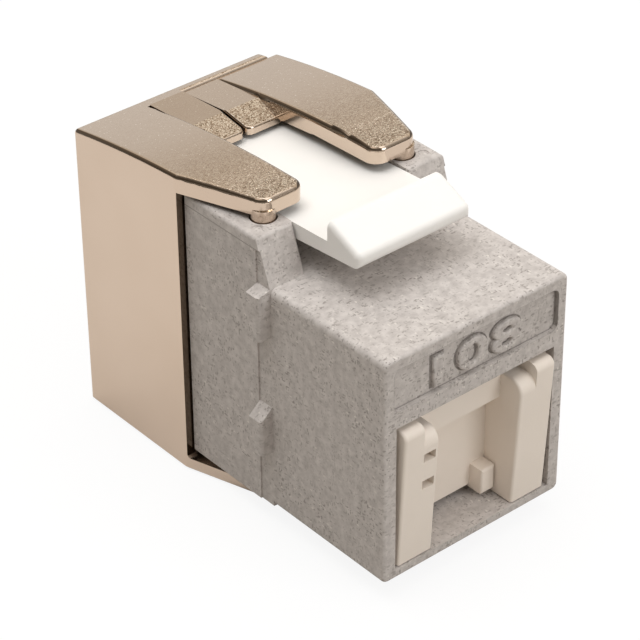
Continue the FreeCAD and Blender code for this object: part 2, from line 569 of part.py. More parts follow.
def build_wing(name, side):
    """side is -1 for the left wing, +1 for the right one, which closes inside the left one's prongs."""
    body = new_body(name)
    left = side < 0

    def span(inner, outer):
        """Low and high X of a stretch between two distances from the middle, on this wing's side."""
        return ("-(%s)" % outer, "-(%s)" % inner) if left else (inner, outer)

    def on_side(loops):
        return [mirrored(loop) for loop in loops] if left else loops

    rear = "wing_rear" if left else "wing_rear - wing_wall"
    rear_inner = "wing_rear - 2 * wing_wall"
    low, high = span("seam / 2", "wing_half_width")
    prism(body, "Outside", "YZ_Plane", [rectangle("arm_tip", "wing_low", rear, "arm_top")], low, high)
    slope = "arm_fall / (wing_window - arm_tip)"
    arm_room = [("arm_tip - 1", "arm_floor"), ("wing_window", "arm_floor"),
                ("wing_window", "arm_under_tip - arm_fall"), ("arm_tip - 1", "arm_under_tip + " + slope)]
    prism(body, "Window", "YZ_Plane", [arm_room], "-wing_half_width - 1", "wing_half_width + 1", cut=True)
    room = [("wing_window - 1", "arm_floor"), (rear_inner, "arm_floor"),
            (rear_inner, "arm_under_rear"), ("wing_window - 1", "arm_under_tip - arm_fall + " + slope)]
    low, high = span("0 - 1", "wing_half_width - wing_side")
    prism(body, "Inside", "YZ_Plane", [room], low, high, cut=True)
    window = size_of("wing_window")
    dress(body, "WindowCorners", "PartDesign::Fillet", "wing_round",
          lambda box, edge: near(box.XLength, size_of("wing_side")) and near(box.YMin, window)
          and near(box.YMax, window) and near(box.ZLength, 0))
    low, high = span("0 - 1", "arm_inner")
    prism(body, "TopGap", "YZ_Plane",
          [rectangle("arm_tip - 1", "tongue_under - 1", "tongue_end", "arm_top + 1")], low, high, cut=True)
    prism(body, "FloorGap", "YZ_Plane",
          [rectangle("arm_tip - 1", "wing_low - 1", "tongue_front", "arm_floor + 1")], low, high, cut=True)
    if left:
        prong = rectangle("-seam", "wing_low", "prong_reach", "arm_top")
        prism(body, "Prongs", "XZ_Plane", [prong], "wing_rear - wing_wall", "wing_rear")
    taper = [("arm_tip_outer", "arm_tip - 0.01"), ("wing_half_width", "wing_window + taper_run"),
             ("wing_half_width + 2", "wing_window + taper_run"), ("wing_half_width + 2", "arm_tip - 0.01")]
    prism(body, "ArmTaper", "XY_Plane", on_side([taper]), "wing_low - 1", "arm_top + 1", cut=True)
    crown = "crown_radius" if left else "right_crown_radius"
    crown_centre = ("arm_tip", "arm_top - " + crown)
    around = rectangle("arm_tip - 2 * " + crown, "arm_top - 3 * " + crown,
                       "arm_tip + 2 * " + crown, "arm_top + " + crown)
    prism(body, "Crown", "YZ_Plane", [around], "-wing_half_width - 1", "wing_half_width + 1", cut=True,
          circles=[(crown_centre, crown)])
    dress_wing(body, side, size_of(crown))
    end_top = "tongue_end_top" if left else "tongue_end_top - right_drop"
    tongue = [("tongue_front", "tongue_under"), ("tongue_bend", "tongue_under"),
              ("tongue_end + 0.1", end_top + " - tongue_skin"), ("tongue_end + 0.1", end_top),
              ("tongue_bend", "tongue_bend_top"), ("tongue_front", "tongue_front_top")]
    low, high = span("seam / 2", "arm_inner + 0.01")
    prism(body, "Tongue", "YZ_Plane", [tongue], low, high)
    dress_tongue(body)
    if left:
        slot = rectangle("0", "outlet_height - outlet_radius", "prong_reach + 1",
                         "outlet_height + outlet_radius")
        prism(body, "OutletSlot", "XZ_Plane", [slot], "wing_rear - 3", "wing_rear + 1", cut=True)
    prism(body, "Outlet", "XZ_Plane", [], "wing_rear - 3", "wing_rear + 1", cut=True,
          circles=[(("0", "outlet_height"), "outlet_radius")])
    boss = [((("-" if left else "") + "boss_x", "boss_y"), "boss_radius")]
    prism(body, "UpperBoss", "XY_Plane", [], "upper_boss_low", "arm_under_tip + boss_sunk",
          circles=boss)
    prism(body, "LowerBoss", "XY_Plane", [], "arm_floor - boss_sunk", "lower_boss_high", circles=boss)


def dress_tongue(body):
    """Round the tongue's corner beside the seam, in plan."""
    front = size_of("tongue_front")
    dress(body, "TongueCorners", "PartDesign::Fillet", "wing_corner / 2",
          lambda box, edge: near(box.XLength, 0) and near(box.YLength, 0) and near(box.YMin, front, 0.02)
          and abs(box.XMin) < 1 and box.ZMax > size_of("tongue_under"))
    dress(body, "TongueEdges", "PartDesign::Fillet", "seam_round",
          lambda box, edge: box.ZMin > size_of("tongue_under") + 0.1
          and ((near(box.YMin, front) and near(box.YLength, 0) and near(box.ZLength, 0))
               or (near(box.XLength, 0) and near(abs(box.XMin), size_of("seam") / 2)
                   and near(box.YMax, size_of("tongue_bend")) and box.YLength > 1)))


def dress_wing(body, side, crown):
    """Round the corners in plan, then the edges of the falling top, whose radius is given."""
    tip = size_of("arm_tip")
    tongue = size_of("tongue_front")
    half = size_of("wing_half_width")
    upright = lambda box: near(box.XLength, 0) and near(box.YLength, 0)
    dress(body, "ArmTipCorners", "PartDesign::Fillet", "wing_corner",
          lambda box, edge: upright(box) and near(box.YMin, tip, 0.02))
    bend = size_of("wing_window") + size_of("taper_run")
    dress(body, "ArmBends", "PartDesign::Fillet", "wing_corner / 2",
          lambda box, edge: upright(box) and near(box.YMin, bend) and near(abs(box.XMin), half))
    rear = size_of("wing_rear")
    if side < 0:
        dress(body, "RearCorner", "PartDesign::Fillet", "wing_round",
              lambda box, edge: upright(box) and near(box.YMin, rear)
              and (near(box.XMin, -half) or near(box.XMin, size_of("prong_reach"))))
    centre_z = size_of("arm_top") - crown

    def on_crown(point):
        return near(math.hypot(point.y - tip, point.z - centre_z), crown)

    def rounded(box, edge):
        seam = max(abs(box.XMin), abs(box.XMax)) < size_of("seam")
        gap_end = near(box.YMin, size_of("tongue_end")) and near(box.YMax, size_of("tongue_end"))
        covered = side > 0 and near(box.YMin, rear - size_of("wing_wall"))
        return all(on_crown(vertex.Point) for vertex in edge.Vertexes) and not (seam or gap_end or covered)

    dress(body, "TopEdges", "PartDesign::Fillet", "wing_round", rounded)
    floor = size_of("wing_low")
    dress(body, "BottomEdges", "PartDesign::Chamfer", "wing_round / 2",
          lambda box, edge: near(box.ZMax, floor) and near(max(abs(box.XMin), abs(box.XMax)), half))


# ---------------------------------------------------------------------------------------------------
# Inside: contact carrier, eight contacts, circuit board, blade block, eight blades, wire manager
# ---------------------------------------------------------------------------------------------------


def column(index, count, pitch):
    """Expression for the place of one of a row of pieces, centred on X = 0."""
    return "(%g * %s)" % (index - (count - 1) / 2, pitch)


def build_contact_carrier():
    body = new_body("contact_carrier")
    prism(body, "Block", "XZ_Plane",
          [rectangle("-carrier_half_width", "rear_low + inner_gap", "carrier_half_width",
                     "rear_high - inner_gap")], "carrier_start", "board_start")
    prism(body, "Mouth", "XZ_Plane",
          [rectangle("-mouth_half_width", "rear_low - 1", "mouth_half_width", "mouth_high")],
          "carrier_start - 1", "mouth_end", cut=True)
    slots = []
    for index in range(8):
        middle = column(index, 8, "contact_pitch")
        slots.append(rectangle(middle + " - contact_width / 2", "contact_bend_z - contact_thick / 2",
                               middle + " + contact_width / 2", "contact_bend_z + contact_thick / 2"))
    prism(body, "ContactSlots", "XZ_Plane", slots, "mouth_end - 1", "board_start + 1", cut=True)


def build_contacts():
    """Flat sprung wires: a fixed run through the carrier, then a slope down to the free end."""
    half = "contact_thick / 2"
    outline = [("board_start + contact_tail", "contact_bend_z + " + half),
               ("contact_bend_y", "contact_bend_z + " + half),
               ("contact_tip_y", "contact_tip_z + contact_thick"),
               ("contact_tip_y", "contact_tip_z"),
               ("contact_bend_y + contact_thick / 2", "contact_bend_z - " + half),
               ("board_start + contact_tail", "contact_bend_z - " + half)]
    for index in range(8):
        body = new_body("spring_contact_%d" % (index + 1))
        middle = column(index, 8, "contact_pitch")
        prism(body, "Wire%d" % (index + 1), "YZ_Plane", [outline],
              middle + " - contact_width / 2", middle + " + contact_width / 2")


def blade_places():
    """Number, column expression and row alias of each blade: four above, four below."""
    places = []
    for index in range(8):
        row = "upper_row" if index < 4 else "lower_row"
        places.append((index + 1, column(index % 4, 4, "blade_pitch"), row))
    return places


def build_circuit_board():
    body = new_body("circuit_board")
    prism(body, "Board", "XZ_Plane",
          [rectangle("-carrier_half_width", "rear_low + inner_gap", "carrier_half_width",
                     "rear_high - inner_gap")], "board_start", "board_start + board_thickness")
    slots = []
    for index in range(8):
        middle = column(index, 8, "contact_pitch")
        slots.append(rectangle(middle + " - contact_width / 2", "contact_bend_z - contact_thick / 2",
                               middle + " + contact_width / 2", "contact_bend_z + contact_thick / 2"))
    for number, middle, row in blade_places():
        slots.append(rectangle(middle + " - blade_tail_width / 2", row + " - blade_thick / 2",
                               middle + " + blade_tail_width / 2", row + " + blade_thick / 2"))
    prism(body, "SolderSlots", "XZ_Plane", slots, "board_start - 1", "board_start + 2", cut=True)


def build_blades():
    """Forked blades, flat side up, with a tail through the block into the board."""
    for number, middle, row in blade_places():
        body = new_body("idc_blade_%d" % number)
        right = middle + " + %s"
        left = middle + " - %s"
        tip = "block_end - blade_sunk"
        throat = tip + " - blade_slot_depth"
        shoulder = tip + " - blade_bevel"
        half_fork = [("blade_tail_width / 2", "board_start"), ("blade_tail_width / 2", "blade_root"),
                     ("blade_width / 2", "blade_root"), ("blade_width / 2", shoulder),
                     ("blade_slot", tip), ("blade_slot / 2", throat)]
        fork = [(right % across, along) for across, along in half_fork]
        fork += [(left % across, along) for across, along in reversed(half_fork)]
        prism(body, "Fork%d" % number, "XY_Plane", [fork], row + " - blade_thick / 2",
              row + " + blade_thick / 2")


def build_idc_block():
    body = new_body("idc_block")
    prism(body, "Neck", "XZ_Plane",
          [rectangle("-" + NECK_SIDE, "block_low", NECK_SIDE, "block_high")],
          "shoulder_end", "block_neck_end")
    prism(body, "Block", "XZ_Plane",
          [rectangle("-" + BLOCK_SIDE, "block_low", BLOCK_SIDE, "block_high")],
          "block_neck_end", "block_end")
    cradle = rectangle("latch_half_width + 0.08", "block_high - 0.5", "cradle_outer", "cradle_high")
    prism(body, "Cradles", "XZ_Plane", [cradle, mirrored(cradle)], "cradle_start", "block_end")
    prism(body, "CradleBore", "YZ_Plane", [], "-cradle_outer - 1", "cradle_outer + 1", cut=True,
          circles=[(("latch_pivot_y", "latch_pivot_z"), "latch_pin_radius + latch_pin_fit")])
    forks = []
    tails = []
    wires = []
    for number, middle, row in blade_places():
        forks.append(rectangle(middle + " - blade_width / 2", row + " - blade_thick / 2",
                               middle + " + blade_width / 2", row + " + blade_thick / 2"))
        tails.append(rectangle(middle + " - blade_tail_width / 2", row + " - blade_thick / 2",
                               middle + " + blade_tail_width / 2", row + " + blade_thick / 2"))
    for index in range(4):
        middle = column(index, 4, "blade_pitch")
        left = middle + " - wire_slot / 2"
        right = middle + " + wire_slot / 2"
        wires.append(rectangle(left, "outlet_height + wire_slot_inner", right, "block_high - 1.2"))
        wires.append(rectangle(left, "block_low + 1", right, "outlet_height - wire_slot_inner"))
    prism(body, "BladeTails", "XZ_Plane", tails, "shoulder_end - 1", "blade_root", cut=True)
    prism(body, "BladeSlots", "XZ_Plane", forks, "blade_root", "block_end + 1", cut=True)
    prism(body, "WireSlots", "XZ_Plane", wires, "block_end - wire_slot_depth", "block_end + 1", cut=True)


def build_wire_manager():
    """Cap that holds the eight wires square over the blades, with the cable's opening in its middle."""
    body = new_body("wire_manager")
    prism(body, "Cap", "XZ_Plane",
          [rectangle("-" + BLOCK_SIDE, "manager_low", BLOCK_SIDE, "manager_high")],
          "manager_start", "manager_end")
    dress(body, "CapCorners", "PartDesign::Fillet", "corner_round",
          lambda box, edge: near(box.XLength, 0) and near(box.ZLength, 0))
    prism(body, "CableOpening", "XZ_Plane", [], "manager_start - 1", "manager_end + 1", cut=True,
          circles=[(("0", "outlet_height"), "outlet_radius")])
    well = rectangle("-manager_well", "outlet_height - manager_well_height", "manager_well",
                     "outlet_height + manager_well_height")
    prism(body, "Well", "XZ_Plane", [well], "manager_start - 1", "manager_start + manager_groove", cut=True)
    grooves = []
    for index in range(4):
        middle = column(index, 4, "blade_pitch")
        grooves.append(rectangle(middle + " - wire_slot / 2", "manager_low - 1",
                                 middle + " + wire_slot / 2", "manager_high + 1"))
    prism(body, "Grooves", "XZ_Plane", grooves, "manager_start - 1", "manager_start + manager_groove",
          cut=True)


# ---------------------------------------------------------------------------------------------------
# Side springs that join the plug's screen to the wings
# ---------------------------------------------------------------------------------------------------


def build_shield_spring(name, side):
    body = new_body(name)
    skin = "shield_thick"
    face = "port_half_width + 0.05"
    crest = "shield_bump"
    before = "shield_bump_y - shield_bump_half"
    after = "shield_bump_y + shield_bump_half"
    tab_y = "shoulder_end + 0.08"
    tab_end = "wing_half_width - wing_side - shield_tab_gap"
    strip = [(face, "shield_start"), (face, before), (crest, "shield_bump_y"), (face, after),
             (face, tab_y + " + shield_thick"), (tab_end, tab_y + " + shield_thick"),
             (tab_end, tab_y), (face + " + " + skin, tab_y), (face + " + " + skin, after),
             (crest + " + " + skin, "shield_bump_y"), (face + " + " + skin, before),
             (face + " + " + skin, "shield_start")]
    loops = [mirrored(strip)] if side < 0 else [strip]
    prism(body, "Strip", "XY_Plane", loops, "shield_low", "shield_high")


# ---------------------------------------------------------------------------------------------------
# Build, place, check, export
# ---------------------------------------------------------------------------------------------------

build_front_housing()
build_shutter()
build_shutter_spring()
build_latch()
build_wing("left_wing", -1)
build_wing("right_wing", 1)
build_contact_carrier()
build_contacts()
build_circuit_board()
build_blades()
build_idc_block()
build_wire_manager()
build_shield_spring("shield_spring_left", -1)
build_shield_spring("shield_spring_right", 1)

for item in parts:
    item.setExpression("Placement.Base.y", formula("-(wing_rear - post_proud) / 2"))
    item.setExpression("Placement.Base.z", formula("face_lift"))
doc.recompute()

faults = [item.Name for item in doc.Objects if "Invalid" in item.State or "Error" in item.State]
faults += [item.Label for item in parts
           if item.Shape.isNull() or not item.Shape.isValid() or item.Shape.Volume <= 0]
if faults:
    raise RuntimeError("not built: " + ", ".join(faults))

os.makedirs("parts", exist_ok=True)
for item in parts:
    item.Shape.exportStep("parts/%s.step" % item.Label)
    box = item.Shape.optimalBoundingBox(False)
    print("%-20s %8.2f mm3  solids %d  X %.2f %.2f  Y %.2f %.2f  Z %.2f %.2f" % (
        item.Label, item.Shape.Volume, len(item.Shape.Solids),
        box.XMin, box.XMax, box.YMin, box.YMax, box.ZMin, box.ZMax))
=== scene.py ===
import math

import bpy
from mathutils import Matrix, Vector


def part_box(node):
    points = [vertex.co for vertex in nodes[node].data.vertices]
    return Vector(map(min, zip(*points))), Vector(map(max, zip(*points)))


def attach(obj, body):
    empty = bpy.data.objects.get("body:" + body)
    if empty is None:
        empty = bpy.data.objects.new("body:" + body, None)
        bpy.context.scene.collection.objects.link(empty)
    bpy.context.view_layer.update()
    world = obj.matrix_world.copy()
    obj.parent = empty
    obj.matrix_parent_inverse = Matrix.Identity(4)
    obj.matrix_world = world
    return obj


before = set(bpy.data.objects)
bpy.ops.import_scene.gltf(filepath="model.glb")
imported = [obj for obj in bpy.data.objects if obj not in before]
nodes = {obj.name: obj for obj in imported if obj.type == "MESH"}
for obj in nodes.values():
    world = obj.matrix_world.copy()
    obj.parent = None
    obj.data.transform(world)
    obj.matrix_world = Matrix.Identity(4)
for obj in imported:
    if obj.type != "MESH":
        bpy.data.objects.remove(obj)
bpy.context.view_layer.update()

# ---------------------------------------------------------------------------------------------------
# Camera: above the jack's left front corner, about 0.17 m from it, with a lens long enough for the
# jack to fill the picture.
# ---------------------------------------------------------------------------------------------------

CAMERA_PLACE = (-0.08969371, -0.10603551, 0.10505899)
CAMERA_TURN = (55.628983, 0.412703, -40.442272)
LENS_MM = 152.179
SENSOR_MM = 36.0
NEAREST_SEEN = 0.005
FARTHEST_SEEN = 5.0

bpy.ops.object.camera_add(location=CAMERA_PLACE, rotation=[math.radians(turn) for turn in CAMERA_TURN])
camera = bpy.context.object
camera.data.lens = LENS_MM
camera.data.sensor_width = SENSOR_MM
camera.data.clip_start = NEAREST_SEEN
camera.data.clip_end = FARTHEST_SEEN
bpy.context.scene.camera = camera

# ---------------------------------------------------------------------------------------------------
# Studio: a pale table in a room that is bright overhead and dim lower down, with a paler wall behind
# the jack, all of which shows in the bare metal. Two soft lamps stand above and in front. Where the
# camera looks past the jack, the table and the room are white.
# ---------------------------------------------------------------------------------------------------

bpy.context.scene.view_settings.view_transform = "Standard"
BLACK = (0.0, 0.0, 0.0, 1.0)
WHITE = (1.0, 1.0, 1.0, 1.0)

# A band of the room is its height, from straight down (0) over level (0.5) to straight up (1), its
# brightness and its tint.
NEUTRAL = (1.0, 0.975, 0.945)
WARM = (1.0, 0.90, 0.77)
DIM_BANDS = [(0.0, 0.02, WARM), (0.50, 0.02, WARM), (0.53, 0.16, WARM), (0.66, 0.22, WARM),
             (0.80, 0.32, WARM), (0.91, 0.60, NEUTRAL), (0.94, 1.60, NEUTRAL), (1.0, 1.60, NEUTRAL)]
WALL_BANDS = [(0.0, 0.02, WARM), (0.49, 0.02, WARM), (0.53, 0.74, NEUTRAL), (0.66, 0.76, NEUTRAL),
              (0.72, 0.57, WARM), (0.78, 0.74, WARM), (0.90, 0.76, WARM), (0.94, 1.60, NEUTRAL),
              (1.0, 1.60, NEUTRAL)]
ROOM_LEVEL = 1.05

# Which way the wall lies, and how squarely one faces it where it begins and where it is full.
WALL_TOWARDS = (0.64, 0.77, 0.0)
WALL_FADE = (0.15, 0.45)

# Where a Mix node has its factor, its two colours and its result.
MIX_FACTOR, MIX_UNDER, MIX_OVER, MIX_RESULT = 0, 6, 7, 2


def feed(tree, value, socket):
    """A socket takes a link from another socket, or a plain value."""
    if isinstance(value, bpy.types.NodeSocket):
        tree.links.new(value, socket)
    else:
        socket.default_value = value


def reckon(tree, way, *values):
    """A Math node over sockets or numbers."""
    step = tree.nodes.new("ShaderNodeMath")
    step.operation = way
    for value, socket in zip(values, step.inputs):
        feed(tree, value, socket)
    return step.outputs[0]


def share_along(tree, value, first, last):
    """How far a value is on the way from first (0) to last (1)."""
    span = last - first
    return reckon(tree, "MULTIPLY_ADD", value, 1.0 / span, -first / span)


def axes_of(tree, vector):
    """The X, Y and Z of a vector, by name."""
    split = tree.nodes.new("ShaderNodeSeparateXYZ")
    tree.links.new(vector, split.inputs[0])
    return split.outputs


def ramp_of(tree, source, stops):
    """A colour ramp over a factor: stops are (place, colour)."""
    ramp = tree.nodes.new("ShaderNodeValToRGB")
    ramp.color_ramp.elements[0].position = stops[0][0]
    ramp.color_ramp.elements[0].color = stops[0][1]
    ramp.color_ramp.elements[1].position = stops[-1][0]
    ramp.color_ramp.elements[1].color = stops[-1][1]
    for place, colour in stops[1:-1]:
        ramp.color_ramp.elements.new(place).color = colour
    tree.links.new(source, ramp.inputs["Fac"])
    return ramp.outputs["Color"]


def mix_colours(tree, factor, under, over):
    """One colour over another by a factor."""
    mix = tree.nodes.new("ShaderNodeMix")
    mix.data_type = "RGBA"
    feed(tree, factor, mix.inputs[MIX_FACTOR])
    feed(tree, under, mix.inputs[MIX_UNDER])
    feed(tree, over, mix.inputs[MIX_OVER])
    return mix.outputs[MIX_RESULT]


def mix_shaders(tree, factor, under, over, output):
    """One shader over another by a factor, led to the tree's output."""
    mix = tree.nodes.new("ShaderNodeMixShader")
    for source, socket in zip((factor, under, over), mix.inputs):
        tree.links.new(source, socket)
    tree.links.new(mix.outputs[0], tree.nodes[output].inputs["Surface"])


def bands_of(tree, height, bands):
    """The room's colour over its height."""
    stops = [(place, (*[level * part for part in tint], 1.0)) for place, level, tint in bands]
    return ramp_of(tree, height, stops)


room = bpy.data.worlds.new("dim_to_bright_room")
room.use_nodes = True
bpy.context.scene.world = room
tree = room.node_tree
direction = tree.nodes.new("ShaderNodeTexCoord").outputs["Generated"]
height = share_along(tree, axes_of(tree, direction)["Z"], -1.0, 1.0)
towards = tree.nodes.new("ShaderNodeVectorMath")
towards.operation = "DOT_PRODUCT"
tree.links.new(direction, towards.inputs[0])
towards.inputs[1].default_value = WALL_TOWARDS
wall_share = ramp_of(tree, towards.outputs["Value"], [(WALL_FADE[0], BLACK), (WALL_FADE[1], WHITE)])
room_colour = mix_colours(
    tree, wall_share, bands_of(tree, height, DIM_BANDS), bands_of(tree, height, WALL_BANDS))
room_light = tree.nodes["Background"]
room_light.inputs["Strength"].default_value = ROOM_LEVEL
tree.links.new(room_colour, room_light.inputs["Color"])
room_seen = tree.nodes.new("ShaderNodeBackground")
room_seen.inputs["Color"].default_value = WHITE
seen = tree.nodes.new("ShaderNodeLightPath").outputs["Is Camera Ray"]
mix_shaders(tree, seen, room_light.outputs[0], room_seen.outputs[0], "World Output")

# The table throws light back as a grey. Where the camera looks, it is white and glows by SEEN_SHARE,
# so that it still keeps the jack's shadow; in the metal's mirror it is a pale grey and glows a little.
TABLE_SIZE = 0.70
TABLE_ROUGHNESS = 0.9
TABLE_GREY = (0.44, 0.42, 0.39, 1.0)
SEEN_SHARE = 0.89
MIRRORED_GREY = (0.80, 0.77, 0.75, 1.0)
MIRRORED_SHARE = 0.15

bpy.ops.object.select_all(action="DESELECT")
bpy.ops.mesh.primitive_plane_add(size=TABLE_SIZE, location=(0, 0, 0))
table = bpy.context.object
table.name = "table"
table_finish = bpy.data.materials.new("table_white")
table_finish.use_nodes = True
tree = table_finish.node_tree
table_coat = tree.nodes["Principled BSDF"]
table_coat.inputs["Roughness"].default_value = TABLE_ROUGHNESS
table_coat.inputs["Specular IOR Level"].default_value = 0.0
table_glow = tree.nodes.new("ShaderNodeEmission")
table_glow.inputs["Strength"].default_value = 1.0
path = tree.nodes.new("ShaderNodeLightPath").outputs
mirrored = reckon(tree, "MAXIMUM", path["Is Glossy Ray"], path["Is Transmission Ray"])
table_colour = mix_colours(tree, mirrored, TABLE_GREY, MIRRORED_GREY)
table_colour = mix_colours(tree, path["Is Camera Ray"], table_colour, WHITE)
tree.links.new(table_colour, table_coat.inputs["Base Color"])
glow_seen = reckon(tree, "MULTIPLY", path["Is Camera Ray"], SEEN_SHARE)
glow_share = reckon(tree, "MULTIPLY_ADD", mirrored, MIRRORED_SHARE, glow_seen)
mix_shaders(tree, glow_share, table_coat.outputs[0], table_glow.outputs[0], "Material Output")
table.data.materials.append(table_finish)

LAMPS_FACE = (0.0, 0.0, 0.010)


def soft_lamp(name, place, width, power):
    """A square lamp that faces the middle of the jack."""
    bpy.ops.object.light_add(type="AREA", location=place)
    lamp = bpy.context.object
    lamp.name = name
    lamp.data.size = width
    lamp.data.energy = power
    reach = [to - here for to, here in zip(LAMPS_FACE, place)]
    flat = math.hypot(reach[0], reach[1])
    lamp.rotation_euler = (math.atan2(flat, -reach[2]), 0.0, math.atan2(-reach[0], reach[1]))


soft_lamp("lamp_above", place=(-0.10, 0.05, 0.40), width=0.20, power=0.37)
soft_lamp("lamp_front", place=(0.12, -0.42, 0.28), width=0.25, power=0.74)

# ---------------------------------------------------------------------------------------------------
# Front housing: one moulding of a filled grey plastic, matt, with short dark and pale flecks and a
# faint parting line below the ears' upper edges, drawn dark with painted shade. A round-cornered
# recess for a label lies above the port, with a soft line of painted shade along its outline.
# ---------------------------------------------------------------------------------------------------

HOUSING_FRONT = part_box("front_housing")[0][1]
GREY = (0.49, 0.455, 0.435, 1.0)
GREY_PALE = (0.65, 0.61, 0.585, 1.0)
GREY_DARK = (0.33, 0.30, 0.28, 1.0)
GREY_LIGHT_FLECK = (0.74, 0.70, 0.66, 1.0)
# Painted shade: the dark grey of the shade line in the label's recess and of the rim round the digits.
GREY_PAINTED_SHADE = (0.16, 0.145, 0.135, 1.0)
GREY_ROUGHNESS = 0.58

# The label's recess, and the painted shade line along its outline, which stands for the shade in the
# recess's inside corners: its stops run from the line's reach inside the outline (0) to as far outside
# it (1), and it ends just behind the recess's floor. The recess's ledge looks up more than FACES_UP
# and has no line.
LABEL_HALF_WIDE = 0.0065
LABEL_HALF_HIGH = 0.001475
LABEL_MIDDLE = 0.015125
LABEL_ROUND = 0.0005
LABEL_DEPTH = 0.00032
SHADE_LINE_DEPTH = LABEL_DEPTH * 1.05
SHADE_LINE_REACH = 0.00025
SHADE_LINE_GREY = (0.6, 0.6, 0.6, 1.0)
SHADE_LINE_STOPS = [(0.26, BLACK), (0.44, SHADE_LINE_GREY), (0.52, SHADE_LINE_GREY), (0.54, BLACK)]
FACES_UP = 0.5

# The parting line, drawn dark with painted shade, runs round the rear part's sides, which stand out
# beyond PARTING_OUTSIDE.
PARTING_HEIGHT = 0.01970
PARTING_HALF = 0.000035
PARTING_OUTSIDE = 0.00730

# A kind of fleck is its squeeze along the axes, its turn, how many cells there are to a metre, how far
# it reaches in its cell, and its colour. They come in crowds, and noise makes their outlines ragged.
FLECKS = [
    ((1.0, 3.0, 3.0), (0.4, 0.5, 0.6), 1300.0, 0.24, GREY_DARK),
    ((3.0, 1.0, 3.0), (0.9, 0.2, 0.3), 1300.0, 0.24, GREY_DARK),
    ((3.0, 3.0, 1.0), (0.3, 0.8, 1.2), 1300.0, 0.24, GREY_DARK),
    ((1.0, 2.5, 2.0), (2.1, 1.4, 0.2), 1100.0, 0.22, GREY_DARK),
    ((2.0, 1.0, 2.0), (1.1, 0.4, 0.9), 1200.0, 0.18, GREY_LIGHT_FLECK),
]
FLECK_CORE = 0.6
RAGGED_SCALE = 6000.0
RAGGED_REACH = 0.00016
CROWD_SCALE = 450.0
CROWD_STOPS = [(0.38, (0.35, 0.35, 0.35, 1.0)), (0.60, WHITE)]
CLOUD_SCALE = 1800.0
CLOUD_STOPS = [(0.34, GREY), (0.66, GREY_PALE)]
LUMP_SCALE = 700.0
LUMP_HIGH = 0.00008
SKIN_SCALE = 4000.0
SKIN_HIGH = 0.00005
GREY_BUMP = 0.30


def noise_of(tree, vector, scale, detail=3.0, roughness=0.5):
    """Noise over a vector, as a factor from 0 to 1."""
    noise = tree.nodes.new("ShaderNodeTexNoise")
    noise.inputs["Scale"].default_value = scale
    noise.inputs["Detail"].default_value = detail
    noise.inputs["Roughness"].default_value = roughness
    tree.links.new(vector, noise.inputs["Vector"])
    return noise.outputs["Fac"]


def bump_of(tree, height, strength, distance):
    """A bump from a height factor; the distance is in metres."""
    bump = tree.nodes.new("ShaderNodeBump")
    bump.inputs["Distance"].default_value = distance
    feed(tree, height, bump.inputs["Height"])
    feed(tree, strength, bump.inputs["Strength"])
    return bump


def new_finish(name, roughness, metallic=0.0):
    """A material with its tree, shader and object coordinates."""
    finish = bpy.data.materials.new(name)
    finish.use_nodes = True
    tree = finish.node_tree
    shader = tree.nodes["Principled BSDF"]
    shader.inputs["Roughness"].default_value = roughness
    shader.inputs["Metallic"].default_value = metallic
    place = tree.nodes.new("ShaderNodeTexCoord").outputs["Object"]
    return finish, tree, shader, place


def facing_of(tree):
    """Which way a face of the piece looks, by axis, from -1 to 1."""
    return axes_of(tree, tree.nodes.new("ShaderNodeTexCoord").outputs["Normal"])


def dress_node(name, finish):
    """The finish goes on every material slot of a node."""
    node = nodes[name]
    for index in range(len(node.data.materials)):
        node.data.materials[index] = finish


def flecks_of(tree, place, squeeze, turn, cell, reach):
    """Short straight flecks: one squeezed blob in each cell of a scatter, as a factor."""
    mapping = tree.nodes.new("ShaderNodeMapping")
    mapping.inputs["Scale"].default_value = squeeze
    mapping.inputs["Rotation"].default_value = turn
    tree.links.new(place, mapping.inputs["Vector"])
    scatter = tree.nodes.new("ShaderNodeTexVoronoi")
    scatter.inputs["Scale"].default_value = cell
    scatter.inputs["Randomness"].default_value = 1.0
    tree.links.new(mapping.outputs[0], scatter.inputs["Vector"])
    return ramp_of(tree, scatter.outputs["Distance"], [(reach * FLECK_CORE, WHITE), (reach, BLACK)])


def unevenly(tree, place, scale, reach):
    """The place pushed about by noise, so that what follows gets uneven outlines."""
    noise = tree.nodes.new("ShaderNodeTexNoise")
    noise.inputs["Scale"].default_value = scale
    tree.links.new(place, noise.inputs["Vector"])
    push = tree.nodes.new("ShaderNodeVectorMath")
    push.operation = "MULTIPLY_ADD"
    tree.links.new(noise.outputs["Color"], push.inputs[0])
    push.inputs[1].default_value = (reach, reach, reach)
    tree.links.new(place, push.inputs[2])
    return push.outputs[0]


def from_label_outline(tree, spot):
    """How far a spot is from the recess's round-cornered outline: below zero inside it."""
    across = reckon(tree, "ABSOLUTE", spot["X"])
    across = reckon(tree, "SUBTRACT", across, LABEL_HALF_WIDE - LABEL_ROUND)
    up = reckon(tree, "ABSOLUTE", reckon(tree, "SUBTRACT", spot["Z"], LABEL_MIDDLE))
    up = reckon(tree, "SUBTRACT", up, LABEL_HALF_HIGH - LABEL_ROUND)
    squares = [reckon(tree, "POWER", reckon(tree, "MAXIMUM", way, 0.0), 2.0) for way in (across, up)]
    outside = reckon(tree, "SQRT", reckon(tree, "ADD", *squares))
    inside = reckon(tree, "MINIMUM", reckon(tree, "MAXIMUM", across, up), 0.0)
    return reckon(tree, "SUBTRACT", reckon(tree, "ADD", outside, inside), LABEL_ROUND)


def label_painted_shade(tree, spot):
    """Painted shade along the recess's outline, on its floor and side walls but not on its ledge."""
    away = share_along(tree, from_label_outline(tree, spot), -SHADE_LINE_REACH, SHADE_LINE_REACH)
    near_line = ramp_of(tree, away, SHADE_LINE_STOPS)
    in_front = reckon(tree, "LESS_THAN", spot["Y"], HOUSING_FRONT + SHADE_LINE_DEPTH)
    upright = reckon(tree, "LESS_THAN", facing_of(tree)["Z"], FACES_UP)
    return reckon(tree, "MULTIPLY", near_line, reckon(tree, "MULTIPLY", in_front, upright))


